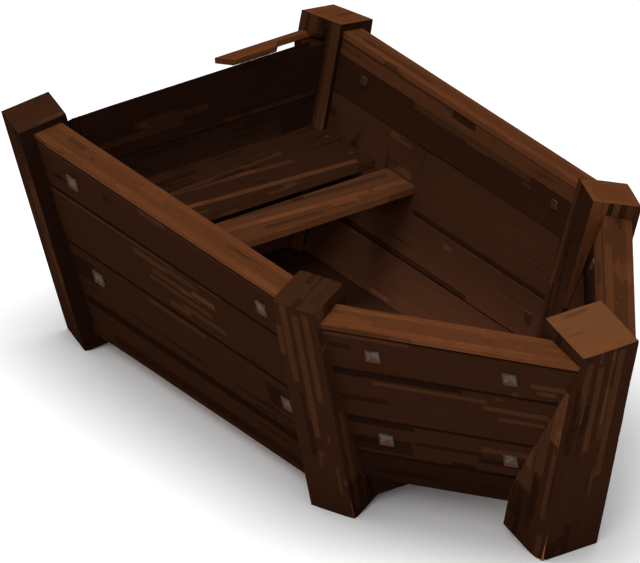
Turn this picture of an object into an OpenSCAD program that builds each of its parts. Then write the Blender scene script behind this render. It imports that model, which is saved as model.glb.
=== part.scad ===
// Wooden mine tub: a pointed open box of heavy planks, framed by five leaning posts
// whose lower ends are its feet. +X points to the bow, +Z points up, and the origin
// is the middle of the tub's outline on the ground. Right is -Y and left is +Y.

/* [Plan] */
// Distance from the bow post's foot back to the rear posts' feet
tub_length = 1221; // [1000:1:1500]
// Distance from the bow post's foot back to the shoulder posts' feet
bow_length = 358; // [290:1:440]
// Distance from the centreline to each side post's foot
foot_spread = 238; // [200:1:290]

/* [Posts] */
// Width of the square shoulder and rear posts
post_size = 105; // [95:1:130]
// Width of the square bow post
stem_size = 135; // [125:1:170]
// Outward lean of every post, in degrees
post_lean = 15; // [12:0.5:18]
// How far the shoulder posts' lean turns forward from straight sideways, in degrees
shoulder_turn = 20; // [16:0.5:24]
// How far the rear posts' lean turns backward from straight sideways, in degrees
rear_turn = 15; // [12:0.5:18]
// Length of post that stands above the side walls
post_stand = 13; // [6:1:30]
// Depth cut level off the lowest edge of each shoulder and rear post
post_trim = 3; // [2:0.5:6]
// Depth cut level off the lowest edge of the bow post
stem_trim = 8; // [4:0.5:12]
// Depth of the housings in the shoulder and rear posts that hold the plank ends
post_housing = 20; // [12:1:25]
// Depth of the housing in the back of the bow post
stem_housing = 15; // [8:1:20]

/* [Walls] */
// Thickness of the wall planks
plank_t = 60; // [45:1:75]
// Width of the top planks
top_width = 108; // [90:1:140]
// Width of the upper planks
upper_width = 138; // [110:1:170]
// Width of the lower planks
lower_width = 101; // [84:1:125]
// Width of the bottom planks of the side walls
side_bottom_width = 133; // [110:1:160]
// Width of the bottom planks of the bow walls
bow_bottom_width = 76; // [60:1:95]
// Thickness of the cap boards
cap_t = 15; // [12:1:20]
// Distance up the slope from the post's foot to a side wall's lower edge
side_start = 32; // [26:1:40]
// Outward lean of the bow walls, in degrees
bow_lean = 20; // [18:0.5:22]
// Turn of the bow walls beyond the line of the post feet, in degrees
bow_toe = 1.4; // [0:0.1:3]
// Distance from the bow post's foot to the middle of a bow wall, at foot level
bow_inset = 39; // [34:1:46]
// How much lower the bow walls' top edges are than the side walls', up the slope
bow_drop = 5; // [0:1:15]
// How much lower the rear wall's top edge is than the side walls', up the slope
rear_drop = 27; // [15:1:40]

/* [Broken rear cap] */
// Length of the wall's level bed that is left beside the left rear post
bed_length = 30; // [20:1:60]
// Length of the splinter beyond that bed
splinter_length = 195; // [120:1:240]
// Width of the splinter
splinter_width = 34; // [28:1:42]
// Width of the splinter's root on the bed
splinter_root = 16; // [12:1:24]
// Length of the slanted break at the splinter's tip
splinter_tip = 24; // [12:1:40]
// Depth that the split took off the outer top edge of the rear wall
split_depth = 40; // [30:1:55]
// Width of the chip at the right end of the rear wall's top plank
chip_width = 30; // [15:1:45]
// Depth of that chip
chip_depth = 32; // [15:1:45]

/* [Floor] */
// Width of the two inner floor boards
floor_board_w = 114; // [90:1:130]
// Distance from the rear posts' feet to the rear bearer
rear_bearer_in = 195; // [160:1:230]
// Distance from the rear posts' feet to the middle bearer
middle_bearer_in = 513; // [430:1:600]
// Height of the floor's top above the ground
floor_top = 80; // [76:1:95]
// Thickness of the floor boards
floor_t = 24; // [18:1:28]
// Width of the rear and middle bearers
bearer_w = 80; // [60:1:100]
// Width of the front bearer
front_bearer_w = 60; // [50:1:80]
// Distance from the bow post's foot back to the front face of the front bearer
front_bearer_back = 296; // [280:1:310]
// Depth of the bearers' ends in the bottom planks
bearer_housing = 15; // [8:1:25]
// Width of the front bearer's ledge under the floor boards
ledge_w = 25; // [18:1:35]
// Square size of the bow cleats
cleat_size = 22; // [18:1:28]

/* [Seat] */
// Height of the seat's top above the ground
seat_top = 329; // [290:1:350]
// Thickness of the seat boards
seat_t = 15; // [12:1:20]
// Width of the rear seat board at its underside
seat_rear_width = 90; // [70:1:110]
// Width of the middle seat board
seat_middle_width = 112; // [90:1:135]
// Open gap behind the front seat board
seat_gap = 39; // [20:1:50]
// Width of the front seat board
seat_front_width = 101; // [80:1:122]
// Height and width of the cleats under the seat
seat_cleat = 26; // [20:1:32]
// Distance that the seat cleats stop short of the seat's front edge
seat_cleat_short = 60; // [40:1:75]

/* [Fasteners] */
// Width of the square spike heads
head_size = 30; // [24:1:36]
// Height of the spike heads
head_t = 5; // [3:0.5:8]
// Diameter of the spikes' shanks
shank_d = 12; // [8:1:16]
// Width of the square roves inside the walls
rove_size = 18; // [16:1:26]
// Thickness of the roves
rove_t = 3; // [2:0.5:5]
// Distance of the spikes from the shoulder post's foot
shoulder_spike = 84; // [78:1:120]
// Distance of the spikes from the rear post's foot
rear_spike = 122; // [90:1:150]
// Distance of the upper bow spikes from the bow post's foot, along the wall
stem_spike = 34; // [20:1:45]
// How much further back the lower bow spikes are, clear of the bow post
stem_spike_back = 26; // [20:1:40]
// Distance of the rearward bow spikes from the bow post's foot, along the wall
bow_spike = 321; // [260:1:330]
// Diameter of the blind dowels in the plank ends
dowel_d = 18; // [12:1:22]
// Length of the blind dowels
dowel_length = 56; // [44:1:60]
// Diameter of the wooden pegs through the cap boards
peg_d = 10; // [8:1:12]
// Length of those pegs
peg_length = 55; // [35:1:70]
// Distance of the end pegs from the side posts' feet
peg_inset = 104; // [90:1:160]
// Width of the small square nail heads
nail_size = 10; // [8:1:12]
// Thickness of the small nail heads
nail_t = 2; // [1.5:0.5:3]
// Length of the small nails' shanks
nail_length = 36; // [28:1:42]
// Diameter of the small nails' shanks
nail_d = 4; // [3:0.5:5]
// Distance of the front seat board's nails from its rear edge
seat_nail_in = 22; // [12:1:40]

/* [Hidden] */
$fn = 32;
far = 2000;
half_post = post_size / 2;
half_stem = stem_size / 2;
foot_z = half_post * sin(post_lean) - post_trim;
stem_foot_z = half_stem * sin(post_lean) - stem_trim;

// Distances up the slope, measured in each wall's own middle plane
side_top = side_start + side_bottom_width + lower_width + upper_width + top_width + cap_t;
bow_top = side_top - bow_drop;
bow_start = bow_top - cap_t - top_width - upper_width - lower_width - bow_bottom_width;
rear_top = side_top - rear_drop;
post_length = side_top + post_stand;

// Levels at which the walls' lower edges are cut
side_level = foot_z + side_start * cos(post_lean) - plank_t / 2 * sin(post_lean);
bow_level = foot_z + bow_start * cos(bow_lean) - plank_t / 2 * sin(bow_lean);

// Places of the feet, with the origin in the middle of the whole outline
stem_reach = half_stem * cos(post_lean) + post_length * sin(post_lean);
rear_reach = (half_post * cos(post_lean) + post_length * sin(post_lean)) * sin(rear_turn)
    + half_post * cos(rear_turn);
stem_x = (tub_length + rear_reach - stem_reach) / 2;
shoulder_x = stem_x - bow_length;
rear_x = stem_x - tub_length;
rear_lean = atan(tan(post_lean) * sin(rear_turn));
bow_yaw = atan2(foot_spread, bow_length) + bow_toe;

// Each post: foot x, foot y, direction of its lean, width, foot height
stem = [stem_x, 0, 0, stem_size, stem_foot_z];
shoulder = [shoulder_x, -foot_spread, shoulder_turn - 90, post_size, foot_z];
rear = [rear_x, -foot_spread, -rear_turn - 90, post_size, foot_z];

// Plank courses: bottom edge and top edge up the slope, from the bottom plank to the cap
function courses(top, bottom) = let (
        a = top - cap_t,
        b = a - top_width,
        c = b - upper_width,
        d = c - lower_width
    ) [[bottom, d], [d, c], [c, b], [b, a], [a, top]];
side_courses = courses(side_top, side_start - plank_t);
bow_courses = courses(bow_top, bow_start - plank_t);
rear_courses = courses(rear_top, side_start - plank_t);
function middle(course) = (course[0] + course[1]) / 2;

// Floor and seat
bearer_z = side_level;
bearer_t = floor_top - floor_t - bearer_z;
front_bearer_x = stem_x - front_bearer_back;
bow_floor_z = bow_level + cleat_size;
bow_boards = 3;
floor_boards = 4;
bearer_xs = [rear_x + rear_bearer_in, rear_x + middle_bearer_in];
rear_inner_x = rear_x + plank_t / 2 * cos(rear_lean) - (seat_top - seat_t - foot_z) * tan(rear_lean);
seat_middle_x = rear_inner_x + seat_rear_width;
seat_front_x = seat_middle_x + seat_middle_width + seat_gap;
seat_end_x = seat_front_x + seat_front_width;

// ---- Frames and shared shapes ----

// The right side's shapes are drawn once; the left side's are their mirror image
module on_left() {
    mirror([0, 1, 0]) children();
}

module both_sides() {
    children();
    on_left() children();
}

// A post's own axes: X along its lean, Z up its length, from the middle of its foot
module at_post(post) {
    translate([post[0], post[1], post[4]]) rotate([0, 0, post[2]]) rotate([0, post_lean, 0]) children();
}

// Everything in a post's own axes beyond the given X and Y
module beyond(post, from_x, from_y, to_y = far) {
    at_post(post) translate([from_x, from_y, -far / 2]) cube([far, to_y - from_y, far]);
}

module post_block(post) {
    difference() {
        at_post(post) translate([-post[3] / 2, -post[3] / 2, 0]) cube([post[3], post[3], post_length]);
        translate([-far, -far, -far]) cube([2 * far, 2 * far, far]);
    }
}

// Wall axes: X along the wall, Y inward across it, Z up its slope
module in_side_wall() {
    translate([0, -foot_spread, foot_z]) rotate([post_lean, 0, 0]) children();
}

module in_bow_wall() {
    translate([stem_x - bow_inset * sin(bow_yaw), bow_inset * cos(bow_yaw), foot_z])
        rotate([0, 0, bow_yaw]) rotate([bow_lean, 0, 0]) children();
}

// Rear wall axes: X forward across the wall, Y along it, Z up its slope
module in_rear_wall() {
    translate([rear_x, 0, foot_z]) rotate([0, -rear_lean, 0]) children();
}

module below(level) {
    translate([-far, -far, level - far]) cube([2 * far, 2 * far, far]);
}

// A course of each wall, cut to the housings in the posts
module side_course(course) {
    difference() {
        in_side_wall() translate([rear_x - post_size, -plank_t / 2, course[0]])
            cube([tub_length - bow_length + 2 * post_size, plank_t, course[1] - course[0]]);
        at_post(shoulder) translate([-far / 2, post_housing - half_post, -far / 2]) cube([far, far, far]);
        at_post(rear) translate([-far / 2, half_post - post_housing - far, -far / 2]) cube([far, far, far]);
        below(side_level);
    }
}

module bow_course(course) {
    difference() {
        in_bow_wall() translate([-2 * bow_length, -plank_t / 2, course[0]])
            cube([2 * bow_length + stem_size + post_length / 2, plank_t, course[1] - course[0]]);
        at_post(shoulder) translate([-far / 2, half_post - post_housing - far, -far / 2]) cube([far, far, far]);
        beyond(stem, stem_housing - half_stem, -half_stem);
        translate([-far, 0, -far]) cube([2 * far, far, 2 * far]);
        below(bow_level);
    }
}

module rear_course(course) {
    difference() {
        in_rear_wall() translate([-plank_t / 2, -2 * foot_spread, course[0]])
            cube([plank_t, 4 * foot_spread, course[1] - course[0]]);
        both_sides() beyond(rear, post_housing - half_post, -far / 2, far / 2);
        below(side_level);
    }
}

function whole(courses) = [courses[0][0], courses[4][1]];
module side_wall() { side_course(whole(side_courses)); }
module bow_wall() { bow_course(whole(bow_courses)); }
module rear_wall() { rear_course(whole(rear_courses)); }

// ---- Fasteners ----

// A square-headed spike through a wall, drawn at the outer face and pointing inward (+Y)
module spike() {
    translate([-head_size / 2, -head_t, -head_size / 2]) cube([head_size, head_t, head_size]);
    rotate([-90, 0, 0]) cylinder(d = shank_d, h = plank_t + rove_t);
}

module rove() {
    difference() {
        translate([-rove_size / 2, plank_t, -rove_size / 2]) cube([rove_size, rove_t, rove_size]);
        rotate([-90, 0, 0]) cylinder(d = shank_d, h = 2 * plank_t);
    }
}

module spike_hole() {
    rotate([-90, 0, 0]) cylinder(d = shank_d, h = plank_t + rove_t);
}

// The places of the spikes: two in the top plank and two in the lower plank
module side_spike_places(rows) {
    for (x = [rear_x + rear_spike, shoulder_x - shoulder_spike], row = rows)
        in_side_wall() translate([x, -plank_t / 2, middle(side_courses[row])]) children();
}

module bow_spike_places(rows) {
    for (row = rows, x = [-bow_spike, -stem_spike - (row == 1 ? stem_spike_back : 0)])
        in_bow_wall() translate([x, -plank_t / 2, middle(bow_courses[row])]) children();
}

// Blind dowels lie along the wall, half in the plank and half in the post.
// The end functions give where a wall's middle plane meets each housing.
function side_front_end(u) = shoulder_x
    + (post_housing - half_post + u * sin(post_lean) * sin(shoulder_turn)) / cos(shoulder_turn);
function side_rear_end(u) = rear_x
    + (half_post - post_housing - u * sin(post_lean) * sin(rear_turn)) / cos(rear_turn);
function rear_side_end(u) = foot_spread + u * tan(post_lean) * cos(rear_turn) * cos(rear_lean)
    - (half_post - post_housing) / cos(rear_turn);
function bow_rear_end(u) = let (
        out = u * sin(bow_lean) - bow_inset,
        px = out * sin(bow_yaw) + bow_length,
        py = foot_spread - out * cos(bow_yaw)
    ) (half_post - post_housing - px * cos(shoulder_turn) - py * sin(shoulder_turn))
        / cos(bow_yaw - shoulder_turn);
function bow_front_end(u) = (-half_stem + (u * sin(bow_lean) - bow_inset) * cos(bow_yaw)) / sin(bow_yaw);

module dowel() {
    translate([-dowel_length / 2, 0, 0]) rotate([0, 90, 0]) cylinder(d = dowel_d, h = dowel_length);
}

dowel_rows = [2, 3];

module side_dowel_set(rows = dowel_rows) {
    for (row = rows, u = [middle(side_courses[row])], x = [side_rear_end(u), side_front_end(u)])
        in_side_wall() translate([x, 0, u]) dowel();
}

module bow_dowel_set(rows = dowel_rows) {
    for (row = rows, u = [middle(bow_courses[row])], x = [bow_rear_end(u), bow_front_end(u)])
        in_bow_wall() translate([x, 0, u]) dowel();
}

module rear_dowel_set(rows = dowel_rows) {
    for (row = rows, u = [middle(rear_courses[row]) - (row == 3 ? top_width / 4 : 0)])
        both_sides() in_rear_wall() translate([0, -rear_side_end(u), u]) rotate([0, 0, 90]) dowel();
}

// Wooden pegs through the caps into the planks below
module peg() {
    translate([0, 0, -peg_length]) cylinder(d = peg_d, h = peg_length);
}

module side_pegs() {
    for (x = [rear_x + peg_inset, (rear_x + shoulder_x) / 2, shoulder_x - peg_inset])
        in_side_wall() translate([x, 0, side_top]) peg();
}

module bow_pegs() {
    for (quarter = [1, 3])
        in_bow_wall() translate([-quarter / 4 * bow_spike, 0, bow_top]) peg();
}

// A small nail, head up, with its head sunk flush at the origin
module nail() {
    translate([-nail_size / 2, -nail_size / 2, -nail_t]) cube([nail_size, nail_size, nail_t]);
    translate([0, 0, -nail_length]) cylinder(d = nail_d, h = nail_length);
}

// ---- Posts ----

module post_colour() { color([0.24, 0.13, 0.08]) children(); }
module plank_colour() { color([0.19, 0.10, 0.06]) children(); }
module cap_colour() { color([0.42, 0.25, 0.15]) children(); }
module floor_colour() { color([0.16, 0.09, 0.05]) children(); }
module seat_colour() { color([0.33, 0.20, 0.12]) children(); }
module iron_colour() { color([0.42, 0.37, 0.35]) children(); }

module bow_post() {
    post_colour() difference() {
        post_block(stem);
        both_sides() bow_wall();
        both_sides() bow_dowel_set();
    }
}

module right_shoulder_post() {
    post_colour() difference() {
        post_block(shoulder);
        side_wall();
        bow_wall();
        side_dowel_set();
        bow_dowel_set();
    }
}

module right_rear_post() {
    post_colour() difference() {
        post_block(rear);
        side_wall();
        rear_wall();
        side_dowel_set();
        rear_dowel_set();
    }
}

module left_shoulder_post() { on_left() right_shoulder_post(); }

module left_rear_post() { on_left() right_rear_post(); }

// ---- Walls ----

module right_side_plank(row) {
    plank_colour() difference() {
        side_course(side_courses[row]);
        if (row == 0) bearers_envelope();
        if (row == 1 || row == 3) side_spike_places([row]) spike_hole();
        if (row >= 2) side_dowel_set([row]);
        if (row >= 2) side_pegs();
        if (row == 2) side_cleat_nails();
    }
}

module right_bow_plank(row) {
    plank_colour() difference() {
        bow_course(bow_courses[row]);
        if (row == 1 || row == 3) bow_spike_places([row]) spike_hole();
        if (row >= 2) bow_dowel_set([row]);
        if (row >= 2) bow_pegs();
        if (row == 0) bow_cleat_nails();
    }
}

module rear_plank(row) {
    plank_colour() difference() {
        rear_course(rear_courses[row]);
        if (row >= 2) rear_dowel_set([row]);
    }
}

// The wedge that split off the rear wall's outer top edge
module rear_split() {
    in_rear_wall() rotate([-90, 0, 0]) translate([0, 0, -2 * foot_spread]) linear_extrude(4 * foot_spread)
        polygon([
            [plank_t / 2, -rear_top],
            [-plank_t / 2, split_depth - rear_top],
            [-plank_t, split_depth - rear_top],
            [-plank_t, -rear_top - plank_t],
            [plank_t / 2, -rear_top - plank_t]
        ]);
}

bed_y = rear_side_end(rear_top) - post_housing - bed_length;

// Beside the left rear post the wall keeps its level bed, which the splinter's root lies on
module rear_plank_4() {
    plank_colour() difference() {
        rear_course([rear_courses[3][0], rear_top]);
        difference() {
            rear_split();
            in_rear_wall() translate([-plank_t, bed_y, 0]) cube([2 * plank_t, far, rear_top - cap_t]);
        }
        in_rear_wall() translate([-plank_t, bed_y, rear_top - cap_t]) cube([2 * plank_t, far, far]);
        in_rear_wall() translate([-plank_t, -rear_side_end(rear_top) - far + chip_width, rear_top - chip_depth])
            cube([2 * plank_t, far, far]);
        rear_dowel_set([3]);
    }
}

module rear_cap_remnant() {
    edge = plank_t / 2;
    tip_y = bed_y - splinter_length;
    cap_colour() difference() {
        in_rear_wall() translate([0, 0, rear_top - cap_t]) linear_extrude(cap_t) polygon([
            [-edge, 2 * foot_spread],
            [splinter_root - edge, 2 * foot_spread],
            [splinter_root - edge, bed_y - splinter_length / 4],
            [splinter_width - edge, bed_y - splinter_length / 3],
            [splinter_width - edge, tip_y + splinter_tip],
            [-edge, tip_y]
        ]);
        on_left() beyond(rear, post_housing - half_post, -far / 2, far / 2);
    }
}

module right_side_cap() {
    cap_colour() difference() {
        side_course(side_courses[4]);
        side_pegs();
    }
}

module right_bow_cap() {
    cap_colour() difference() {
        bow_course(bow_courses[4]);
        bow_pegs();
    }
}

module left_side_cap() { on_left() right_side_cap(); }

module left_bow_cap() { on_left() right_bow_cap(); }

// ---- Floor ----

// A cross-timber from bottom plank to bottom plank, with its ends in their housings
module cross_timber(x, width, z, height) {
    difference() {
        translate([x, -foot_spread - plank_t, z]) cube([width, 2 * (foot_spread + plank_t), height]);
        both_sides() in_side_wall()
            translate([-far, -far + plank_t / 2 - bearer_housing, -far / 2]) cube([2 * far, far, far]);
    }
}

module rear_bearer() {
    floor_colour() difference() {
        cross_timber(bearer_xs[0], bearer_w, bearer_z, bearer_t);
        floor_nails_shape();
    }
}

module middle_bearer() {
    floor_colour() difference() {
        cross_timber(bearer_xs[1], bearer_w, bearer_z, bearer_t);
        floor_nails_shape();
    }
}

module bearers_envelope() {
    for (x = bearer_xs) cross_timber(x, bearer_w, bearer_z, bearer_t);
}

// The inside of the tub: everything that the walls and posts leave free
module inside() {
    difference() {
        children();
        both_sides() in_side_wall() translate([-far, plank_t / 2 - far, -far / 2]) cube([2 * far, far, far]);
        in_rear_wall() translate([plank_t / 2 - far, -far, -far / 2]) cube([far, 2 * far, far]);
        both_sides() post_block(shoulder);
        both_sides() post_block(rear);
    }
}

module inside_bow() {
    difference() {
        children();
        both_sides() in_bow_wall() translate([-far, plank_t / 2 - far, -far / 2]) cube([2 * far, far, far]);
        both_sides() post_block(shoulder);
        post_block(stem);
    }
}

module front_bearer() {
    floor_colour() difference() {
        translate([front_bearer_x - front_bearer_w, -foot_spread, bearer_z])
            cube([front_bearer_w, 2 * foot_spread, bow_floor_z - bearer_z]);
        translate([front_bearer_x - front_bearer_w - 1, -foot_spread - 1, floor_top - floor_t])
            cube([ledge_w + 1, 2 * foot_spread + 2, far]);
        both_sides() post_block(shoulder);
        both_sides() bow_wall();
        both_sides() in_side_wall() translate([-far, plank_t / 2 - far, -far / 2]) cube([2 * far, far, far]);
        floor_nails_shape();
        bow_floor_nails();
    }
}

// Floor boards run lengthwise, and the outer two are cut to the posts and the walls
floor_half = foot_spread + plank_t / 2;

module floor_board(number) {
    low_y = number == 1 ? -floor_half : (number - 1 - floor_boards / 2) * floor_board_w;
    high_y = number == floor_boards ? floor_half : (number - floor_boards / 2) * floor_board_w;
    front = front_bearer_x - front_bearer_w + ledge_w;
    floor_colour() difference() {
        inside() translate([rear_x - plank_t, low_y, floor_top - floor_t])
            cube([front - rear_x + plank_t, high_y - low_y, floor_t]);
        both_sides() bow_wall();
        floor_nails_shape();
    }
}

// Bow boards run crosswise, from the front bearer to the bow post
bow_board_w = (front_bearer_back + front_bearer_w - ledge_w - half_stem) / bow_boards;

module bow_board(number) {
    low_x = front_bearer_x - front_bearer_w + ledge_w + (number - 1) * bow_board_w;
    floor_colour() difference() {
        inside_bow() translate([low_x, -foot_spread, bow_floor_z])
            cube([number == bow_boards ? far / 4 : bow_board_w, 2 * foot_spread, floor_t]);
        bow_floor_nails();
    }
}

module right_bow_cleat_block() {
    difference() {
        translate([stem_x - bow_inset * sin(bow_yaw), bow_inset * cos(bow_yaw), 0]) rotate([0, 0, bow_yaw])
            translate([-far / 2, -plank_t, bow_level])
            cube([far, plank_t + plank_t / 2 / cos(bow_lean) + cleat_size - inner_shift(), cleat_size]);
        in_bow_wall() translate([-far, plank_t / 2 - far, -far / 2]) cube([2 * far, far, far]);
        translate([-far, -nail_size, -far]) cube([2 * far, far, 2 * far]);
        translate([-far, -far, -far]) cube([far + front_bearer_x, 2 * far, 2 * far]);
        post_block(shoulder);
        post_block(stem);
    }
}

// How far the bow wall's inner face has moved outward at the middle of the cleat's height
function inner_shift() = (bow_level + cleat_size / 2 - foot_z) * tan(bow_lean);

module right_bow_cleat() {
    floor_colour() difference() {
        right_bow_cleat_block();
        bow_cleat_nails();
    }
}

module left_bow_cleat() { on_left() right_bow_cleat(); }

// ---- Seat ----

module seat_board(x, width) {
    seat_colour() difference() {
        inside() translate([x, -foot_spread - half_seat_spread, seat_top - seat_t])
            cube([width, 2 * (foot_spread + half_seat_spread), seat_t]);
        seat_nails_shape();
    }
}
half_seat_spread = seat_top * tan(post_lean);

module seat_rear_board() { seat_board(seat_middle_x - 2 * seat_rear_width, 2 * seat_rear_width); }

module seat_middle_board() { seat_board(seat_middle_x, seat_middle_width); }

module seat_front_board() { seat_board(seat_front_x, seat_front_width); }

// Distance from the centreline to the side wall's inner face at a given height
function inner_y(z) = foot_spread - plank_t / 2 / cos(post_lean) + (z - foot_z) * tan(post_lean);
cleat_y = inner_y(seat_top - seat_t - seat_cleat / 2) - seat_cleat;

module right_seat_cleat() {
    seat_colour() difference() {
        inside() translate([rear_x, -cleat_y - 2 * seat_cleat, seat_top - seat_t - seat_cleat])
            cube([seat_end_x - seat_cleat_short - rear_x, 2 * seat_cleat, seat_cleat]);
        seat_nails_shape();
        side_cleat_nails();
    }
}

module left_seat_cleat() { on_left() right_seat_cleat(); }

// ---- Small nails ----

module seat_nails_shape() {
    for (x = [seat_middle_x - seat_rear_width / 3, seat_middle_x + seat_middle_width / 2, seat_front_x + seat_nail_in])
        both_sides() translate([x, -cleat_y - seat_cleat / 2, seat_top]) nail();
}

// Two nails at each crossing of a floor board and a bearer
floor_nail_ys = [for (i = [0:floor_boards - 1]) (i + 0.5 - floor_boards / 2) * floor_board_w];
front_ledge_x = front_bearer_x - front_bearer_w + ledge_w / 2;

module floor_nails_shape() {
    for (x = [bearer_xs[0] + bearer_w / 2, bearer_xs[1] + bearer_w / 2, front_ledge_x], y = floor_nail_ys)
        if (x != front_ledge_x || abs(y) < foot_spread / 2) translate([x, y, floor_top]) nail();
}

module bow_floor_nails() {
    for (y = [-foot_spread / 4, foot_spread / 4])
        translate([front_bearer_x - front_bearer_w / 4, y, bow_floor_z + floor_t]) nail();
}

// Nails through the cleats into the walls, at these shares of each seat cleat's length
// and of the bow's length back from the bow post's foot
seat_cleat_nails_at = [0.4, 0.85];
bow_cleat_nails_at = [0.45, 0.7];

module side_cleat_nails() {
    for (share = seat_cleat_nails_at)
        translate([rear_inner_x + share * (seat_end_x - seat_cleat_short - rear_inner_x),
                -cleat_y, seat_top - seat_t - seat_cleat / 2])
            rotate([-90, 0, 0]) nail();
}

module bow_cleat_nails() {
    for (share = bow_cleat_nails_at)
        translate([stem_x - bow_inset * sin(bow_yaw), bow_inset * cos(bow_yaw), bow_level + cleat_size / 2])
            rotate([0, 0, bow_yaw])
            translate([-share * bow_length, plank_t / 2 / cos(bow_lean) + cleat_size - inner_shift(), 0])
            rotate([-90, 0, 0]) nail();
}

module left_side_spikes() { on_left() right_side_spikes(); }

module right_side_spikes() {
    iron_colour() side_spike_places([1, 3]) {
        spike();
        rove();
    }
}

module left_bow_spikes() { on_left() right_bow_spikes(); }

module right_bow_spikes() {
    iron_colour() bow_spike_places([1, 3]) {
        spike();
        rove();
    }
}

module side_dowels() { cap_colour() both_sides() side_dowel_set(); }

module bow_dowels() { cap_colour() both_sides() bow_dowel_set(); }

module rear_dowels() { cap_colour() rear_dowel_set(); }

module cap_pegs() {
    cap_colour() both_sides() {
        side_pegs();
        bow_pegs();
    }
}

module floor_nails() {
    iron_colour() {
        floor_nails_shape();
        bow_floor_nails();
    }
}

module seat_nails() { iron_colour() seat_nails_shape(); }

module cleat_nails() {
    iron_colour() both_sides() {
        side_cleat_nails();
        bow_cleat_nails();
    }
}

// ---- The model ----

bow_post();
left_shoulder_post();
right_shoulder_post();
left_rear_post();
right_rear_post();
on_left() right_side_plank(0);  // left_side_plank_1
on_left() right_side_plank(1);  // left_side_plank_2
on_left() right_side_plank(2);  // left_side_plank_3
on_left() right_side_plank(3);  // left_side_plank_4
right_side_plank(0);  // right_side_plank_1
right_side_plank(1);  // right_side_plank_2
right_side_plank(2);  // right_side_plank_3
right_side_plank(3);  // right_side_plank_4
on_left() right_bow_plank(0);  // left_bow_plank_1
on_left() right_bow_plank(1);  // left_bow_plank_2
on_left() right_bow_plank(2);  // left_bow_plank_3
on_left() right_bow_plank(3);  // left_bow_plank_4
right_bow_plank(0);  // right_bow_plank_1
right_bow_plank(1);  // right_bow_plank_2
right_bow_plank(2);  // right_bow_plank_3
right_bow_plank(3);  // right_bow_plank_4
rear_plank(0);  // rear_plank_1
rear_plank(1);  // rear_plank_2
rear_plank(2);  // rear_plank_3
rear_plank_4();
left_side_cap();
right_side_cap();
left_bow_cap();
right_bow_cap();
rear_cap_remnant();
floor_board(1);  // floor_board_1
floor_board(2);  // floor_board_2
floor_board(3);  // floor_board_3
floor_board(4);  // floor_board_4
bow_board(1);  // bow_board_1
bow_board(2);  // bow_board_2
bow_board(3);  // bow_board_3
rear_bearer();
middle_bearer();
front_bearer();
left_bow_cleat();
right_bow_cleat();
seat_rear_board();
seat_middle_board();
seat_front_board();
left_seat_cleat();
right_seat_cleat();
left_side_spikes();
right_side_spikes();
left_bow_spikes();
right_bow_spikes();
side_dowels();
bow_dowels();
rear_dowels();
cap_pegs();
floor_nails();
seat_nails();
cleat_nails();
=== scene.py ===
import math
import random

import bmesh
import bpy
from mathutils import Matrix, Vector, noise


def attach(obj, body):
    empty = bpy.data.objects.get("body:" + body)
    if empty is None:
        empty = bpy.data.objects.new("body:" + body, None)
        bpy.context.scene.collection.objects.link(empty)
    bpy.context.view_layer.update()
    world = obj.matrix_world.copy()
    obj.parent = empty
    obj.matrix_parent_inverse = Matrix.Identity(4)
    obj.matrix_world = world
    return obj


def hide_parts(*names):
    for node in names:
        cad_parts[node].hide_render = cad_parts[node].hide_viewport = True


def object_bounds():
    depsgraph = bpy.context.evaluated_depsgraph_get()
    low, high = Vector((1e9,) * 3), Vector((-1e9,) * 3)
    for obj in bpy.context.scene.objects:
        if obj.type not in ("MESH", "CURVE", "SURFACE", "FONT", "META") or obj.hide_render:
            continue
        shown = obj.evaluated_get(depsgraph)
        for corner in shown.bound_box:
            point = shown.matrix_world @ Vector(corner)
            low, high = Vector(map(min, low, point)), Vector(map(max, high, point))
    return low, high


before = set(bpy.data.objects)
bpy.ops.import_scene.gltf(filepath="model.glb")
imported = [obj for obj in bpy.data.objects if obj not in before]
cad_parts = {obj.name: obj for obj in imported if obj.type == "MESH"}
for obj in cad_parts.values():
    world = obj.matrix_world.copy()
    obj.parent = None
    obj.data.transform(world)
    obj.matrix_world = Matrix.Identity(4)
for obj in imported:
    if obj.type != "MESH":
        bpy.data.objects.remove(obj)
low_before, high_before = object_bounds()
CENTRE = (low_before + high_before) / 2
TEXEL = 0.015  # width of one weathered strip of grain, in metres

# How much the colours make up for where the light falls
WALL_GAIN = 0.86  # faces outside
SKY_GAIN = 0.58  # faces that look up
INSIDE_GAIN = 0.74  # faces inside, at the rim
DEPTH_GAIN = 10.0  # what is added for faces inside, at the very bottom
SKY_DEPTH_GAIN = 5.0  # the same for faces inside that look up

# The wood's colours from dark to light, and the iron's and its rust's by place on a ramp, as
# 8-bit display values
LEVELS = [
    (28, 14, 8), (33, 17, 10), (44, 24, 14), (59, 35, 21), (74, 43, 25),
    (89, 51, 29), (99, 56, 31), (104, 61, 34), (110, 68, 40), (121, 80, 49),
]
METAL = [(0.0, (46, 36, 30)), (0.46, (56, 45, 39)), (0.56, (74, 62, 55)), (0.68, (81, 70, 63))]
RUST = [(0.3, (48, 27, 16)), (0.5, (66, 39, 23)), (0.65, (88, 54, 34))]
PAPER = [(0.3, (0.86, 0.86, 0.86, 1)), (0.7, (0.9, 0.9, 0.9, 1))]

# Noise in the materials, in waves a metre along and across the grain
WOBBLE_WAVES = (26.0, 60.0)  # unsteady edges of the strips
PATCH_WAVES = (3.4, 13.0)  # where streaks gather
FIBRE_WAVES = (18.0, 620.0)
CHECK_WAVES = (5.0, 90.0)
BLOTCH_WAVES = (60.0, 60.0)  # on iron
PIT_WAVES = (420.0, 420.0)  # in iron
WOBBLE = 0.0012  # metres
SEAM = TEXEL * 0.3  # width of the dark line along a seam
CHECK_BELOW = 0.29  # noise level under which the wood has opened in a check

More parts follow.
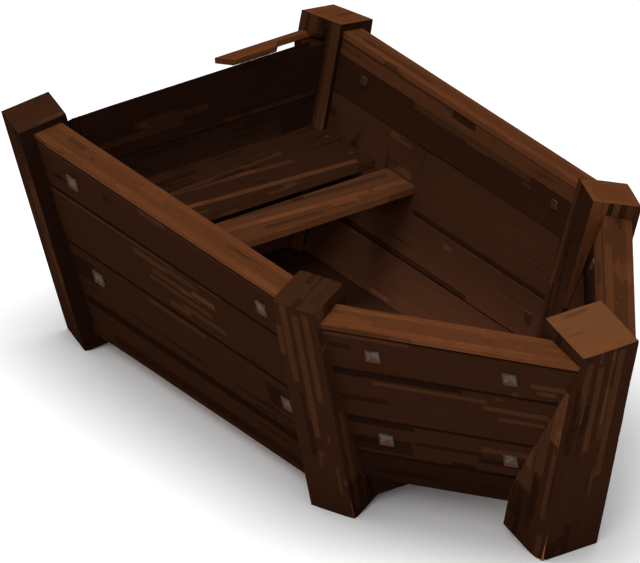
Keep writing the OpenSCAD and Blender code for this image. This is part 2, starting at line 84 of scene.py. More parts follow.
# Streaks: the chance's value, and the change in level from there up
WIDE_STREAKS = [(0, -2.0), (-0.18, -1.0), (-0.02, 0.0), (1.0, 1.0), (1.2, 2.0)]
THIN_STREAKS = [(0, -1.0), (-0.06, 0.0), (1.05, 1.0)]
WIDE_CELL, THIN_CELL = 9.0, 5.0  # length of a streak's cell, in texels
WIDE_SALT, THIN_SALT = 2.3, 7.9  # keep the two kinds of streak apart
PATCH_STRENGTH = 1.3  # how strongly streaks gather in patches

# Wear and forging, in metres unless said otherwise
WEAR_WAVES = (9, 26, 26)  # waves a metre on a board's three axes
EDGE_WEAR, CHIP_WEAR, FACE_WEAR = 1.1, 4, 0.35  # shares of a family's wear depth
CHIP_FROM = 0.36  # noise level above which an edge is chipped
CUT_SHARES = (1.0, 1.3, 1.3)  # how the pitch of the cuts grows on those axes
MARK_MARGIN = 0.006  # no cut for a mark comes closer to a board's edge
WORN_ANGLE, TURNED_ANGLE, FORGED_ANGLE = 0.35, 0.6, 0.5  # radians from which an edge is sharp
TURNED_EDGE, FORGED_EDGE = 0.0008, 0.0007  # width of the rounded edges
RIM_SHARE, CREST_SHARE = 0.14, 0.3  # a head's rim in head widths, and its crest in crowns
HEAD_AREA = 6e-5  # a face that is smaller isn't a head (square metres)
HEAD_EDGE = 0.004  # nor is one with a shorter edge

# Directions of faces: how much of the normal points that way
UPWARD = 0.9  # under the open sky
ALONG_THE_TUB = 0.8
ON_A_SIDE = 0.6  # enough for a mark on that side
SAME_WAY, ACROSS = 0.995, 0.25  # cosines: above the first, parallel; below the second, across
ROUNDED = 0.985  # below this, a vertex lies on a rounded edge

SIDES = {
    "bow": Vector((1, 0, 0)),
    "right": Vector((0, -1, 0)),
    "up": Vector((0, 0, 1)),
}
# Places painted lighter or darker: the side of the board, from and to along the grain, from and to
# across it, in metres from the board's own corner, and the change in level
MARKS = {
    "bow_post": [
        ("right", 0.29, 0.43, 0.02, 0.05, 2),
        ("right", 0.19, 0.36, 0.05, 0.075, 1.4),
        ("right", 0.13, 0.3, 0.075, 0.12, 1),
        ("right", 0.1, 0.33, 0.02, 0.034, 1),
        ("bow", 0.36, 0.52, 0.012, 0.03, 1),
        ("bow", 0.28, 0.5, 0.045, 0.06, 1),
        ("bow", 0.2, 0.53, 0.09, 0.105, 1),
        ("bow", 0.0, 0.05, 0.0, 0.03, -1),
        ("bow", 0.34, 0.53, 0.075, 0.082, 1),
    ],
    "right_bow_plank_4": [
        ("right", 0.45, 0.53, 0.036, 0.05, 1),
        ("right", 0.46, 0.5, 0.018, 0.03, 1),
        ("right", 0.0, 0.2, 0.094, 0.108, 1),
    ],
    "right_bow_plank_3": [
        ("right", 0.0, 0.29, 0.122, 0.138, -2),
        ("right", 0.1, 0.34, 0.105, 0.115, 1),
        ("right", 0.33, 0.47, 0.085, 0.098, 1),
        ("right", 0.02, 0.125, 0.05, 0.065, -1.4),
        ("right", 0.36, 0.46, 0.06, 0.07, 1),
    ],
    "right_bow_plank_2": [
        ("right", 0.0, 0.16, 0.085, 0.101, -2),
        ("right", 0.0, 0.15, 0.012, 0.05, -1.5),
        ("right", 0.23, 0.28, 0.0, 0.014, -2),
        ("right", 0.29, 0.38, 0.026, 0.04, -2),
        ("right", 0.16, 0.3, 0.045, 0.055, -1),
        ("right", 0.3, 0.4, 0.06, 0.075, 1),
    ],
    "right_shoulder_post": [
        ("right", 0.34, 0.54, 0.018, 0.033, 1),
        ("right", 0.2, 0.52, 0.045, 0.06, 1),
        ("right", 0.3, 0.53, 0.07, 0.085, 1),
        ("bow", 0.44, 0.54, 0.0, 0.03, 1),
        ("bow", 0.0, 0.09, 0.0, 0.09, -1),
    ],
    "right_side_plank_4": [
        ("right", 0.0, 0.9, 0.1, 0.108, 1),
    ],
    "right_side_plank_3": [
        ("right", 0.02, 0.45, 0.126, 0.132, 1),
        ("right", 0.3, 0.42, 0.1, 0.115, 1),
        ("right", 0.36, 0.5, 0.078, 0.09, 1),
        ("right", 0.34, 0.56, 0.055, 0.066, 1),
        ("right", 0.45, 0.6, 0.03, 0.042, 1),
        ("right", 0.5, 0.58, 0.085, 0.1, 2),
        ("right", 0.4, 0.47, 0.015, 0.03, 1),
    ],
    "right_side_plank_2": [
        ("right", 0.02, 0.1, 0.02, 0.075, -1.5),
        ("right", 0.7, 0.77, 0.02, 0.075, -1.5),
        ("right", 0.3, 0.5, 0.08, 0.09, 1),
    ],
    # Painted shade: dark bands low on the bottom plank, near the ground
    "right_side_plank_1": [
        ("right", 0.03, 0.8, 0.1, 0.122, -2),
        ("right", 0.1, 0.76, 0.03, 0.052, -1.4),
        ("right", 0.0, 0.84, 0.0, 0.016, -1),
    ],
    "right_rear_post": [
        ("right", 0.1, 0.5, 0.078, 0.09, 1),
        ("right", 0.2, 0.4, 0.055, 0.065, 1),
    ],
    "left_side_plank_4": [
        ("right", 0.0, 0.88, 0.078, 0.093, 1.6),
        ("right", 0.02, 0.42, 0.093, 0.108, 1.6),
        ("right", 0.5, 0.88, 0.093, 0.108, 2),
        ("right", 0.3, 0.7, 0.064, 0.078, 1),
    ],
    "left_side_plank_3": [
        ("right", 0.36, 0.82, 0.0, 0.011, -2),
    ],
    "left_side_plank_2": [
        ("right", 0.1, 0.57, 0.0, 0.013, -2),
    ],
    "left_bow_plank_4": [
        ("right", 0.0, 0.55, 0.062, 0.108, 1.6),
    ],
    "rear_plank_4": [
        ("bow", 0.4, 0.62, 0.0, 0.014, 1),
        ("bow", 0.05, 0.3, 0.03, 0.045, 1),
    ],
    "left_rear_post": [
        ("right", 0.1, 0.52, 0.03, 0.042, -2),
        ("right", 0.1, 0.54, 0.0, 0.022, 1),
        ("right", 0.15, 0.54, 0.06, 0.08, 1),
    ],
    "left_shoulder_post": [
        ("bow", 0.2, 0.54, 0.07, 0.1, 2.6),
        ("bow", 0.25, 0.54, 0.045, 0.06, 1.6),
        ("right", 0.3, 0.54, 0.0, 0.02, 1),
    ],
    "seat_rear_board": [
        ("up", 0.15, 0.45, 0.03, 0.042, 1),
        ("up", 0.1, 0.6, 0.0, 0.01, -1),
    ],
    "seat_middle_board": [
        ("up", 0.12, 0.56, 0.085, 0.1, 2),
        ("up", 0.04, 0.45, 0.02, 0.034, 1),
    ],
    "seat_front_board": [
        ("up", 0.1, 0.5, 0.06, 0.075, 1),
        ("up", 0.2, 0.56, 0.02, 0.035, -1),
    ],
}

# ---- Shader helpers ----


def linear(rgb):
    """An 8-bit display colour as a linear RGBA value."""
    out = []
    for value in rgb:
        c = value / 255
        out.append(c / 12.92 if c <= 0.04045 else ((c + 0.055) / 1.055) ** 2.4)
    return (*out, 1.0)


def linear_stops(stops):
    return [(place, linear(rgb)) for place, rgb in stops]


class Tree:
    """A material's node tree, with short calls for the nodes that the materials use."""

    def __init__(self, name):
        self.material = bpy.data.materials.new(name)
        self.material.use_nodes = True
        self.tree = self.material.node_tree
        self.tree.nodes.clear()

    def node(self, kind, **settings):
        made = self.tree.nodes.new(kind)
        for key, value in settings.items():
            setattr(made, key, value)
        return made

    def feed(self, socket, value):
        """Links a socket to another one, or sets it to a plain value."""
        if isinstance(value, bpy.types.NodeSocket):
            self.tree.links.new(value, socket)
        else:
            socket.default_value = value

    def math(self, operation, *values, clamp=False):
        made = self.node("ShaderNodeMath", operation=operation, use_clamp=clamp)
        for socket, value in zip(made.inputs, values):
            self.feed(socket, value)
        return made.outputs[0]

    def attribute(self, name):
        made = self.node("ShaderNodeAttribute", attribute_name=name)
        parts = self.node("ShaderNodeSeparateXYZ")
        self.feed(parts.inputs[0], made.outputs["Vector"])
        return parts.outputs[0], parts.outputs[1], parts.outputs[2]

    def vector(self, x, y, z):
        made = self.node("ShaderNodeCombineXYZ")
        for socket, value in zip(made.inputs, (x, y, z)):
            self.feed(socket, value)
        return made.outputs[0]

    def chance(self, x, y, z):
        """The same random value from 0 to 1 wherever all three inputs are the same."""
        made = self.node("ShaderNodeTexWhiteNoise", noise_dimensions="3D")
        self.feed(made.inputs["Vector"], self.vector(x, y, z))
        return made.outputs["Value"]

    def cloud(self, u, v, seed, waves, detail=2.0, roughness=0.5):
        """Soft noise with so many waves a metre along and across the grain."""
        made = self.node("ShaderNodeTexNoise", noise_dimensions="3D")
        place = self.vector(self.math("MULTIPLY", u, waves[0]), self.math("MULTIPLY", v, waves[1]), seed)
        self.feed(made.inputs["Vector"], place)
        made.inputs["Scale"].default_value = 1.0
        made.inputs["Detail"].default_value = detail
        made.inputs["Roughness"].default_value = roughness
        return made.outputs[0]

    def about_zero(self, value, factor):
        """Noise moved from its middle of 0.5 to 0, and scaled."""
        return self.math("MULTIPLY", self.math("SUBTRACT", value, 0.5), factor)

    def steps(self, value, stops):
        """Constant steps: a value goes in, and the level of the last stop it has passed comes out."""
        total = stops[0][1]
        for (_, before), (place, after) in zip(stops, stops[1:]):
            passed = self.math("GREATER_THAN", value, place)
            total = self.math("MULTIPLY_ADD", passed, after - before, total)
        return total

    def ramp(self, value, colours, constant=False):
        made = self.node("ShaderNodeValToRGB")
        ramp = made.color_ramp
        ramp.interpolation = "CONSTANT" if constant else "LINEAR"
        while len(ramp.elements) > 1:
            ramp.elements.remove(ramp.elements[-1])
        for i, (place, colour) in enumerate(colours):
            stop = ramp.elements[0] if i == 0 else ramp.elements.new(place)
            stop.position = place
            stop.color = colour
        self.feed(made.inputs[0], value)
        return made.outputs[0]

    def mix(self, factor, a, b):
        made = self.node("ShaderNodeMix", data_type="RGBA")
        self.feed(made.inputs[0], factor)
        self.feed(made.inputs[6], a)
        self.feed(made.inputs[7], b)
        return made.outputs[2]

    def scaled(self, colour, factor):
        made = self.node("ShaderNodeVectorMath", operation="SCALE")
        self.feed(made.inputs[0], colour)
        self.feed(made.inputs["Scale"], factor)
        return made.outputs[0]

    def surface(self, colour, roughness, height, bump, distance, specular):
        shader = self.node("ShaderNodeBsdfPrincipled")
        self.feed(shader.inputs["Base Color"], colour)
        self.feed(shader.inputs["Roughness"], roughness)
        shader.inputs["Specular IOR Level"].default_value = specular
        bumped = self.node("ShaderNodeBump")
        bumped.inputs["Strength"].default_value = bump
        bumped.inputs["Distance"].default_value = distance
        self.feed(bumped.inputs["Height"], height)
        self.feed(shader.inputs["Normal"], bumped.outputs[0])
        out = self.node("ShaderNodeOutputMaterial")
        self.feed(out.inputs["Surface"], shader.outputs[0])
        return self.material


def wood(name, fibre=0.14):
    """Weathered wood.

    The mesh says where each face lies on its board (grain), how big that face is (rim), how
    light, bordered and streaked it is (tint), and its painted light and shade: how much lighter
    or darker its colour is made to make up for the light that falls on it.
    """
    t = Tree(name)
    u, v, seed = t.attribute("grain")
    length, width, end = t.attribute("rim")
    lift, border, contrast = t.attribute("tint")
    painted_light_gain, _, _ = t.attribute("painted_light_gain")

    # Streaks in strips along the grain, gathered in patches
    wobble = t.about_zero(t.cloud(u, v, seed, WOBBLE_WAVES, detail=1.0), WOBBLE)
    row_v = t.math("ADD", v, wobble)
    column = t.math("FLOOR", t.math("DIVIDE", t.math("ADD", u, wobble), TEXEL))
    strip = t.math("FLOOR", t.math("DIVIDE", row_v, TEXEL))
    patch_waves = [TEXEL * waves for waves in PATCH_WAVES]
    patch = t.about_zero(t.cloud(column, strip, seed, patch_waves, detail=1.0), PATCH_STRENGTH)

    def streak(row_height, cells, salt):
        row = t.math("FLOOR", t.math("DIVIDE", row_v, row_height))
        start = t.math("FLOOR", t.math("MULTIPLY", t.chance(row, seed, salt), cells * 5.0))
        cell = t.math("FLOOR", t.math("DIVIDE", t.math("ADD", column, start), cells))
        return t.math("ADD", t.chance(cell, row, t.math("ADD", seed, salt)), patch)

    wide = t.steps(streak(TEXEL, WIDE_CELL, WIDE_SALT), WIDE_STREAKS)
    thin = t.steps(streak(TEXEL / 2, THIN_CELL, THIN_SALT), THIN_STREAKS)
    level = t.math("MULTIPLY_ADD", t.math("ADD", wide, thin), contrast, lift)

    # Rows along the edges: lighter where the border is above 0, as painted highlight and wear, and a dark
    # seam where it is below
    near_side = t.math("MINIMUM", v, t.math("SUBTRACT", width, v))
    near_end = t.math("MINIMUM", u, t.math("SUBTRACT", length, u))
    near_any = t.math("MINIMUM", near_side, near_end)
    from_sides = t.math("MULTIPLY", t.math("SUBTRACT", 1.0, end), near_side)
    near = t.math("MULTIPLY_ADD", end, near_any, from_sides)
    worn = t.math("MULTIPLY", t.math("LESS_THAN", near, TEXEL), t.math("MAXIMUM", border, 0.0))
    seam = t.math("MULTIPLY", t.math("LESS_THAN", near, SEAM), t.math("MINIMUM", border, 0.0))
    level = t.math("ROUND", t.math("ADD", level, t.math("ADD", worn, seam)))
    place = t.math("DIVIDE", t.math("ADD", level, 0.5), float(len(LEVELS)), clamp=True)
    colours = [(i / len(LEVELS), rgb) for i, rgb in enumerate(LEVELS)]
    colour = t.ramp(place, linear_stops(colours), constant=True)

    # Fine fibre and open checks along the grain
    fine = t.cloud(u, v, seed, FIBRE_WAVES, detail=3.0, roughness=0.6)
    broad = t.cloud(u, v, t.math("ADD", seed, 4.0), CHECK_WAVES, detail=2.0)
    check = t.math("LESS_THAN", broad, CHECK_BELOW)
    tone = t.math("ADD", t.about_zero(fine, fibre * 4), 1.0)
    tone = t.math("ADD", t.about_zero(broad, fibre * 1.4), tone)
    tone = t.math("MULTIPLY", tone, t.math("SUBTRACT", 1.0, t.math("MULTIPLY", check, 0.3)))
    # Painted light and shade: the colour is scaled by the gain that makes up for this face's light
    colour = t.scaled(colour, t.math("MULTIPLY", tone, painted_light_gain))
    rough = t.math("MULTIPLY_ADD", fine, 0.22, 0.7)
    height = t.math("ADD", t.math("MULTIPLY", fine, 0.55), t.math("MULTIPLY", broad, 0.6))
    height = t.math("SUBTRACT", height, t.math("MULTIPLY", check, 0.7))
    height = t.math("ADD", height, t.math("MULTIPLY", level, 0.12))
    return t.surface(colour, rough, height, bump=0.55, distance=0.0016, specular=0.0)


def iron(name):
    """Forged iron, with as much rust as the mesh says (third part of rim), in blotches."""
    t = Tree(name)
    u, v, seed = t.attribute("grain")
    _, _, rusted = t.attribute("rim")
    painted_light_gain, _, _ = t.attribute("painted_light_gain")
    blotch = t.cloud(u, v, seed, BLOTCH_WAVES, detail=4.0, roughness=0.65)
    pits = t.cloud(u, v, seed, PIT_WAVES)
    metal = t.ramp(t.math("ADD", blotch, t.math("MULTIPLY", pits, 0.12)), linear_stops(METAL))
    rust = t.ramp(pits, linear_stops(RUST))
    amount = t.math("ADD", rusted, t.about_zero(blotch, 1.6), clamp=True)
    # Painted light and shade: the colour is scaled by the gain that makes up for this face's light
    colour = t.scaled(t.mix(amount, metal, rust), painted_light_gain)
    rough = t.math("MULTIPLY_ADD", pits, 0.3, 0.5)
    height = t.math("ADD", blotch, t.math("MULTIPLY", pits, 0.4))
    return t.surface(colour, rough, height, bump=0.5, distance=0.0012, specular=0.12)


MATERIALS = {
    "post_wood": wood("weathered_post_wood"),
    "wall_wood": wood("weathered_wall_wood"),
    "cap_wood": wood("worn_cap_wood", fibre=0.16),
    "floor_wood": wood("darker_floor_wood"),
    "seat_wood": wood("worn_seat_wood", fibre=0.18),
    "iron": iron("rusted_forged_iron"),
}

# ---- Mesh helpers ----


def islands(bm):
    """The separate solids of a mesh, each a list of faces."""
    left = set(bm.faces)
    found = []
    for start in bm.faces:
        if start not in left:
            continue
        left.discard(start)
        stack, group = [start], []
        while stack:
            face = stack.pop()
            group.append(face)
            for edge in face.edges:
                for other in edge.link_faces:
                    if other in left:
                        left.discard(other)
                        stack.append(other)
        found.append(group)
    return found


def axes_of(faces):
    """A board's own axes: along the grain, across the wide face, and through its thickness."""
    kinds = []
    for face in faces:
        area = face.calc_area()
        for kind in kinds:
            if abs(kind[0].dot(face.normal)) > SAME_WAY:
                kind[1] += area
                break
        else:
            kinds.append([face.normal.copy(), area])
    kinds.sort(key=lambda kind: -kind[1])
    through = kinds[0][0]
    side = next((k[0] for k in kinds[1:] if abs(k[0].dot(through)) < ACROSS), through.orthogonal())
    along = through.cross(side).normalized()
    if max(along, key=abs) < 0:
        along = -along
    across = along.cross(through).normalized()
    if across.z < -1e-6 or (abs(across.z) <= 1e-6 and max(across, key=abs) < 0):
        across = -across
    return along, across, through


def spans(verts, axes):
    """The lowest and highest place of some vertices on each axis."""
    return [(min(v.co.dot(a) for v in verts), max(v.co.dot(a) for v in verts)) for a in axes]


def sharp_edges(bm, angle, shortest=0.0):
    """Outer edges that turn by more than an angle, in radians, and are longer than a length."""
    outer = [e for e in bm.edges if len(e.link_faces) == 2 and e.is_convex]
    return [e for e in outer if e.calc_length() > shortest and e.calc_face_angle(0) > angle]


def round_off(bm, edges, width):
    bmesh.ops.bevel(
        bm, geom=edges, offset=width, segments=2, profile=0.6, affect="EDGES", clamp_overlap=True
    )
    bm.normal_update()


def cut(bm, geom, axis, at):
    return bmesh.ops.bisect_plane(bm, geom=geom, plane_co=axis * at, plane_no=axis, dist=1e-6)


def cut_across(bm, verts, axis, low, high, pitch, rng):
    """Cuts a board into short lengths, so that its faces and edges can be worn unevenly."""
    count = max(1, int((high - low) / pitch))
    for i in range(1, count):
        at = low + (high - low) * (i + rng.uniform(-0.25, 0.25)) / count
        geom = [x for x in bm.verts if x in verts]
        edges = {e for v in geom for e in v.link_edges}
        faces = {f for v in geom for f in v.link_faces}
        made = cut(bm, geom + list(edges) + list(faces), axis, at)
        verts.update(x for x in made["geom_cut"] if isinstance(x, bmesh.types.BMVert))


def kind_of(normal, axes):
    """A face's kind, and the two axes that measure it.

    The kind is 0 for an end face, 1 for a narrow long face and 2 for a wide one.
    """
    facing = [abs(normal.dot(a)) for a in axes]
    kind = facing.index(max(facing))
    return kind, {0: (1, 2), 1: (0, 2), 2: (0, 1)}[kind]


def cut_at_marks(bm, box, axes, marks):
    """Cuts a board along the limits of its marks, so that each mark has faces of its own."""
    for side, *limits, _ in marks:
        along, across = kind_of(SIDES[side], axes)[1]
        for which, at in zip((along, along, across, across), limits):
            low, high = box[which]
            if low + MARK_MARGIN < low + at < high - MARK_MARGIN:
                cut(bm, [*bm.verts, *bm.edges, *bm.faces], axes[which], low + at)


def wear(bm, axes, seed, edge_width, depth, pitch, marks, open_face):
    """Rounds the outer edges unevenly and wears the open faces.

    Both go inward only, so no board grows, and flat faces that aren't open stay where they are.
    """
    rng = random.Random(seed)
    box = spans(bm.verts, axes)
    cut_at_marks(bm, box, axes, marks)
    verts = set(bm.verts)
    for axis, (low, high), share in zip(axes, box, CUT_SHARES):
        if high - low > 2 * pitch:
            cut_across(bm, verts, axis, low, high, pitch * share, rng)
    bm.normal_update()
    round_off(bm, sharp_edges(bm, WORN_ANGLE, shortest=0.004), edge_width)
    shift = Vector((seed * 3.1, seed * 1.7, seed * 0.9))
    moves = []
    for vert in bm.verts:
        spread = min((f.normal.dot(vert.normal) for f in vert.link_faces), default=1.0)
        place = Vector([vert.co.dot(axis) * waves for axis, waves in zip(axes, WEAR_WAVES)]) + shift
        worn = 0.5 + 0.5 * noise.noise(place)
        chip = CHIP_WEAR * max(0.0, noise.noise(place * 1.9 + shift) - CHIP_FROM)
        amount = 0.0
        if spread < ROUNDED:
            amount = depth * (EDGE_WEAR * worn + chip)
        elif open_face(vert.normal):
            amount = depth * FACE_WEAR * worn
        moves.append((vert, vert.normal * -amount))
    for vert, move in moves:
        vert.co += move


def attribute_layers(bm):
    return [bm.loops.layers.float_vector.new(name) for name in ("grain", "rim", "tint", "painted_light_gain")]


def paint(bm, axes, seed, shade, marks):
    """Writes each face's place on its board, its size and its shading, for the shader."""
    grain, rim, tint, painted_light_gain = attribute_layers(bm)
    bm.normal_update()
    box = spans(bm.verts, axes)
    for face in bm.faces:
        kind, (along, across) = kind_of(face.normal, axes)
        (low_u, high_u), (low_v, high_v) = box[along], box[across]
        lift, border, contrast = shade(kind, face)
        middle = face.calc_center_median()
        mid_u, mid_v = middle.dot(axes[along]) - low_u, middle.dot(axes[across]) - low_v
        for side, from_u, to_u, from_v, to_v, change in marks:
            in_mark = from_u < mid_u < to_u and from_v < mid_v < to_v
            if in_mark and face.normal.dot(SIDES[side]) > ON_A_SIDE:
                lift += change
        for loop in face.loops:
            u = loop.vert.co.dot(axes[along]) - low_u
            v = loop.vert.co.dot(axes[across]) - low_v
            loop[grain] = (u, v, seed * 1.37 + kind * 11)
            loop[rim] = (high_u - low_u, high_v - low_v, 1.0 if kind == 0 else 0.0)
            loop[tint] = (lift, border, contrast)
            # Painted light and shade: the gain from make_up, by the face's direction and depth
            loop[painted_light_gain] = (make_up(face, loop.vert.co), 0, 0)


def outward(face):
    """True where a face looks away from the tub's middle, or along the tub from beside it."""
    away = face.calc_center_median() - CENTRE
    beside = abs(away.y) > high_before.y / 2 and abs(face.normal.x) > ALONG_THE_TUB
    return beside or face.normal.x * away.x * 0.4 + face.normal.y * away.y > 0


def make_up(face, point):
    """How much lighter or darker a face is coloured at a point, to make up for its light."""
    sky = max(0.0, face.normal.z)
    looks_up = sky > UPWARD
    if outward(face) and not looks_up:
        return WALL_GAIN + (SKY_GAIN - WALL_GAIN) * sky
    depth = max(0.0, 1 - (point.z - low_before.z) / high_before.z)
    if looks_up:
        return SKY_GAIN * (1 + SKY_DEPTH_GAIN * depth ** 3)
    return INSIDE_GAIN * (1 + DEPTH_GAIN * depth ** 3)


# ---- How each family of boards is shaded ----
# A shading gives the (level, border, contrast) of a face from its kind and the face itself


def shade_post(name):
    # Painted shade: these two posts' tops are whole, but are coloured dark like the shaded gap of a
    # broken-off top
    top_painted_as_gap = name in ("right_shoulder_post", "right_rear_post")

    def shade(kind, face):
        if kind == 0 and face.normal.z <= 0.3:
            return (1.0, 0.0, 1.0)
        # Painted shade: the whole top coloured dark
        if kind == 0 and top_painted_as_gap:
            return (3.0, 0.0, 1.0)
        if kind == 0:
            # The top's border rows are lighter: painted highlights along its edges, and wear
            return (7.6, 0.6, 1.1) if name == "bow_post" else (5.6, 1.4, 0.7)
        # Painted shade: a rear post's face toward the bow, inside the tub, is coloured darker than its
        # other sides, darkest on the post whose top is painted as a gap
        if name.endswith("rear_post") and face.normal.x > 0.5:
            return (0.2 if top_painted_as_gap else 1.4, 0.0, 0.8)
        return (2.0, 0.0, 1.0)

    return shade


def shade_wall(name):
    low_bow = name.endswith("bow_plank_1")

    def shade(kind, face):
        if kind == 0:
            return (2.0, 0.0, 1.0)
        if name.startswith("rear"):
            # Painted shade: the rear wall's inner face, toward the bow, is coloured darker than its outer
            # face
            return (0.7, -0.4, 0.6) if face.normal.x > 0 else (1.7, -1.0, 0.6)
        if outward(face):
            # Painted shade: the lowest bow plank is coloured darker outside, low by the ground
            return (0.9 if low_bow else 2.0, -2.0, 0.45)
        return (2.0, -0.4, 0.4)

    return shade


def shade_cap(name):
    def shade(kind, face):
        if kind == 2:
            # The wide faces' border rows are lighter: painted highlights along their edges, and wear
            return (3.8 if name == "left_bow_cap" else 4.9, 1.5, 0.9)
        return (4.8, 0.0, 1.0)

    return shade


def shade_floor(name):
    # The floor's boards, bearers and cleats are coloured darker than the walls
    return lambda kind, face: (1.4, -2.0, 0.6)


def shade_seat(name):
    front = name == "seat_front_board"

    def shade(kind, face):
        # Painted shade and highlight: the boards behind the front one are coloured darker, in the rear
        # wall's shade, and every board's edge faces lighter than its top
        if kind == 2:
            return (3.7, 0.0, 1.0) if front else (2.0, 0.0, 0.8)
        return (5.4, 0.0, 0.6) if front else (3.2, 0.0, 0.6)

    return shade


FAMILIES = [
    # words in the name, material, shading, edge width, wear depth, pitch (metres)
    (("post",), "post_wood", shade_post, 0.0028, 0.0018, 0.055),
    (("plank",), "wall_wood", shade_wall, 0.0026, 0.0016, 0.055),
    (("cap", "remnant"), "cap_wood", shade_cap, 0.0018, 0.0012, 0.05),
    (("floor_board", "bow_board", "bearer", "bow_cleat"), "floor_wood", shade_floor, 0.002, 0.0012, 0.08),
    (("seat",), "seat_wood", shade_seat, 0.0016, 0.001, 0.05),
]

# ---- Pieces ----


def copy_of(node):
    """A CAD node's mesh, with its flat faces whole again."""
    bm = bmesh.new()
    bm.from_mesh(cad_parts[node].data)
    bmesh.ops.remove_doubles(bm, verts=bm.verts, dist=1e-5)
    bmesh.ops.dissolve_limit(bm, angle_limit=math.radians(0.5), verts=bm.verts, edges=bm.edges)
    bm.normal_update()
    return bm


def piece(name, bm, material, node):
    """A finished piece that stands for a CAD node and rides on the tub."""
    mesh = bpy.data.meshes.new(name)
    bm.to_mesh(mesh)
    bm.free()
    mesh.materials.append(MATERIALS[material])
    made = bpy.data.objects.new(name, mesh)
    bpy.context.scene.collection.objects.link(made)
    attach(made, "root")
    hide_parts(node)


def board(node, number, material, shade, edge_width, depth, pitch):
    bm = copy_of(node)
    axes = axes_of(bm.faces)
    marks = MARKS.get(node, [])

    def open_face(normal):
        """True for any face of a post, and for another board's face that no board lies against."""
        if "post" in node:
            return True
        return kind_of(normal, axes)[0] == 2 and (normal.z > 0.5 or material == "wall_wood")

    wear(bm, axes, number, edge_width, depth, pitch, marks, open_face)
    paint(bm, axes, number, shade, marks)
    piece("worn_" + node, bm, material, node)


def turned(node, number):
    """Dowels and pegs: short turned pieces of end-grained wood, several to a node."""
    bm = copy_of(node)
    round_off(bm, sharp_edges(bm, TURNED_ANGLE), TURNED_EDGE)
    grain, rim, tint, painted_light_gain = attribute_layers(bm)
    for i, group in enumerate(islands(bm)):
        verts = {v for f in group for v in f.verts}
        end = max(group, key=lambda f: f.calc_area() if len(f.verts) > 8 else 0)
        along = end.normal
        side = along.orthogonal().normalized()
        axes = (along, side, along.cross(side))
        box = spans(verts, axes)
        for face in group:
            on_end = abs(face.normal.dot(along)) > 0.7
            for loop in face.loops:
                p = [loop.vert.co.dot(a) - low for a, (low, _) in zip(axes, box)]
                loop[grain] = (p[1], p[2], i + number) if on_end else (p[0], p[1] + p[2], i + number)
                loop[rim] = (1.0, 1.0, 0.0)
                loop[tint] = (5.0, 0.0, 0.6)
                # Painted light: turned pieces take the gain of faces that look up
                loop[painted_light_gain] = (SKY_GAIN, 0, 0)
    piece("turned_" + node, bm, "cap_wood", node)


def is_flat_head(face):
    """True for a face that may be a spike's or nail's flat head."""
    if not 4 <= len(face.verts) <= 6 or face.calc_area() <= HEAD_AREA:
        return False
    return all(e.calc_length() > HEAD_EDGE for e in face.edges)


def hammer(bm, head, crown):
    """Hammers a flat head's rim down and crowns its middle, and gives the crest's place."""
    size = math.sqrt(head.calc_area())
    normal = head.normal.copy()
    rims = list(head.verts)
    bmesh.ops.inset_region(bm, faces=[head], thickness=size * RIM_SHARE)
    for vert in rims:
        vert.co -= normal * crown * size
    for vert in head.verts:
        vert.co -= normal * crown * size * CREST_SHARE
    poked = bmesh.ops.poke(bm, faces=[head], offset=crown * size * CREST_SHARE)
    return poked["verts"][0].co.copy()


def forged(node, number, crown, all_rusted_and_shaded):
    """Spikes with their roves, and nails.

    A spike's head is rusted below its crest. What faces into the tub, and a nail all over, is
    rusted throughout and, as painted shade, coloured as dark as the wood.
    """
    bm = copy_of(node)
    crests = []
    for group in islands(bm):
        heads = [f for f in group if is_flat_head(f)]
        if heads:
            crests.append(hammer(bm, max(heads, key=lambda f: f.calc_area()), crown))
    bm.normal_update()
    round_off(bm, sharp_edges(bm, FORGED_ANGLE, shortest=0.003), FORGED_EDGE)
    grain, rim, _, painted_light_gain = attribute_layers(bm)
    for i, group in enumerate(islands(bm)):
        verts = {v for f in group for v in f.verts}
        axes = axes_of(group)
        middle = [(low + high) / 2 for low, high in spans(verts, axes)]
        for face in group:
            rusted_and_shaded = all_rusted_and_shaded or not outward(face)
            centre = face.calc_center_median()
            below = centre.z < min(crests, key=lambda crest: (crest - centre).length).z
            for loop in face.loops:
                p = [loop.vert.co.dot(a) - m for a, m in zip(axes, middle)]
                loop[grain] = (p[0] + p[2], p[1] + p[2], i + number)
                loop[rim] = (1.0, 1.0, 1.5 if rusted_and_shaded else 1.0 if below else 0.0)
                # Painted shade: faces into the tub, and nails, are coloured at less than half
                loop[painted_light_gain] = (0.45 if rusted_and_shaded else 1.0, 0, 0)
    piece("forged_" + node, bm, "iron", node)


for number, node in enumerate(sorted(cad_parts)):
    if "spikes" in node:
        forged(node, number, crown=0.075, all_rusted_and_shaded=False)
    elif "nails" in node:
        forged(node, number, crown=0.02, all_rusted_and_shaded=True)
    elif "dowels" in node or "pegs" in node:
        turned(node, number)
    else:
        family = next(row for row in FAMILIES if any(word in node for word in row[0]))
        _, material, shading, *sizes = family
        board(node, number, material, shading(node), *sizes)

# ---- Floor, light and camera ----


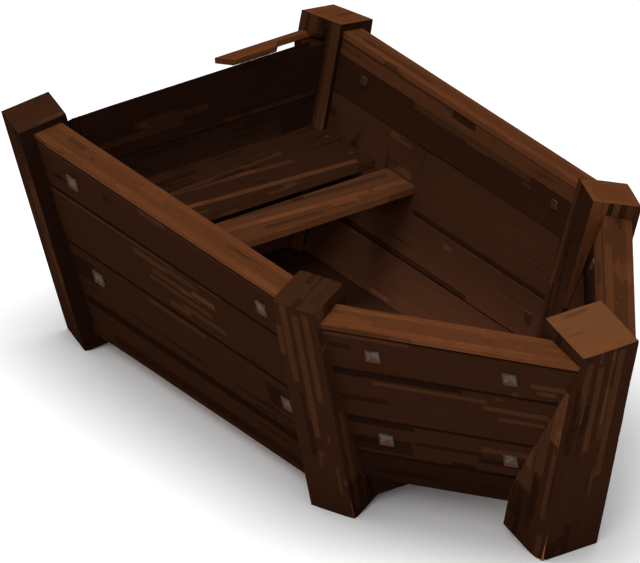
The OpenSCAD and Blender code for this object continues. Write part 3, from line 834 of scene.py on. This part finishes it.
def studio_floor(radius):
    bm = bmesh.new()
    bmesh.ops.create_circle(bm, cap_ends=True, segments=96, radius=radius)
    mesh = bpy.data.meshes.new("studio_floor")
    bm.to_mesh(mesh)
    bm.free()
    paper = Tree("pale_paper")
    speck = paper.node("ShaderNodeTexNoise")
    speck.inputs["Scale"].default_value = 3.0
    speckle = speck.outputs[0]
    colour = paper.ramp(speckle, PAPER)
    mesh.materials.append(paper.surface(colour, 0.9, speckle, bump=0.02, distance=0.001, specular=0.1))
    made = bpy.data.objects.new("studio_floor", mesh)
    bpy.context.scene.collection.objects.link(made)
    return made


floor = studio_floor(radius=14.0)
floor.location.z = low_before.z - 0.0002

world = bpy.data.worlds.new("soft_white_studio")
bpy.context.scene.world = world
world.use_nodes = True
world.node_tree.nodes["Background"].inputs["Color"].default_value = (1.0, 1.0, 1.0, 1.0)
world.node_tree.nodes["Background"].inputs["Strength"].default_value = 0.85


def softbox(name, place, size, power):
    """A round light at a place seen from the tub's middle, which it looks at."""
    data = bpy.data.lights.new(name, "AREA")
    data.shape = "DISK"
    data.size = size
    data.energy = power
    lamp = bpy.data.objects.new(name, data)
    lamp.location = CENTRE + Vector(place)
    lamp.rotation_mode = "QUATERNION"
    lamp.rotation_quaternion = Vector(place).to_track_quat("Z", "Y")
    bpy.context.scene.collection.objects.link(lamp)


softbox("overhead_softbox", (0.2, -0.3, 4.5), size=3.0, power=150)
softbox("front_softbox", (3.4, -3.4, 2.6), size=3.0, power=70)

# A very long lens from far away, since the photo's view is nearly parallel
LOOK = Vector((0.7226, -0.5099, 0.4667)).normalized()  # from the tub to the camera
AIM = CENTRE + Vector((-0.182, -0.035, -0.005))
LENS, SENSOR = 1300, 36  # millimetres
SIGHT = 1.28  # metres across the picture at the tub
camera_data = bpy.data.cameras.new("long_lens")
camera_data.lens = LENS
camera_data.sensor_width = SENSOR
camera_data.clip_start = 1.0
camera_data.clip_end = 200.0
camera = bpy.data.objects.new("long_lens", camera_data)
bpy.context.scene.collection.objects.link(camera)
camera.location = AIM + LOOK * (SIGHT * LENS / SENSOR)
camera.rotation_mode = "QUATERNION"
camera.rotation_quaternion = LOOK.to_track_quat("Z", "Y")
bpy.context.scene.camera = camera
bpy.context.scene.view_settings.view_transform = "Standard"
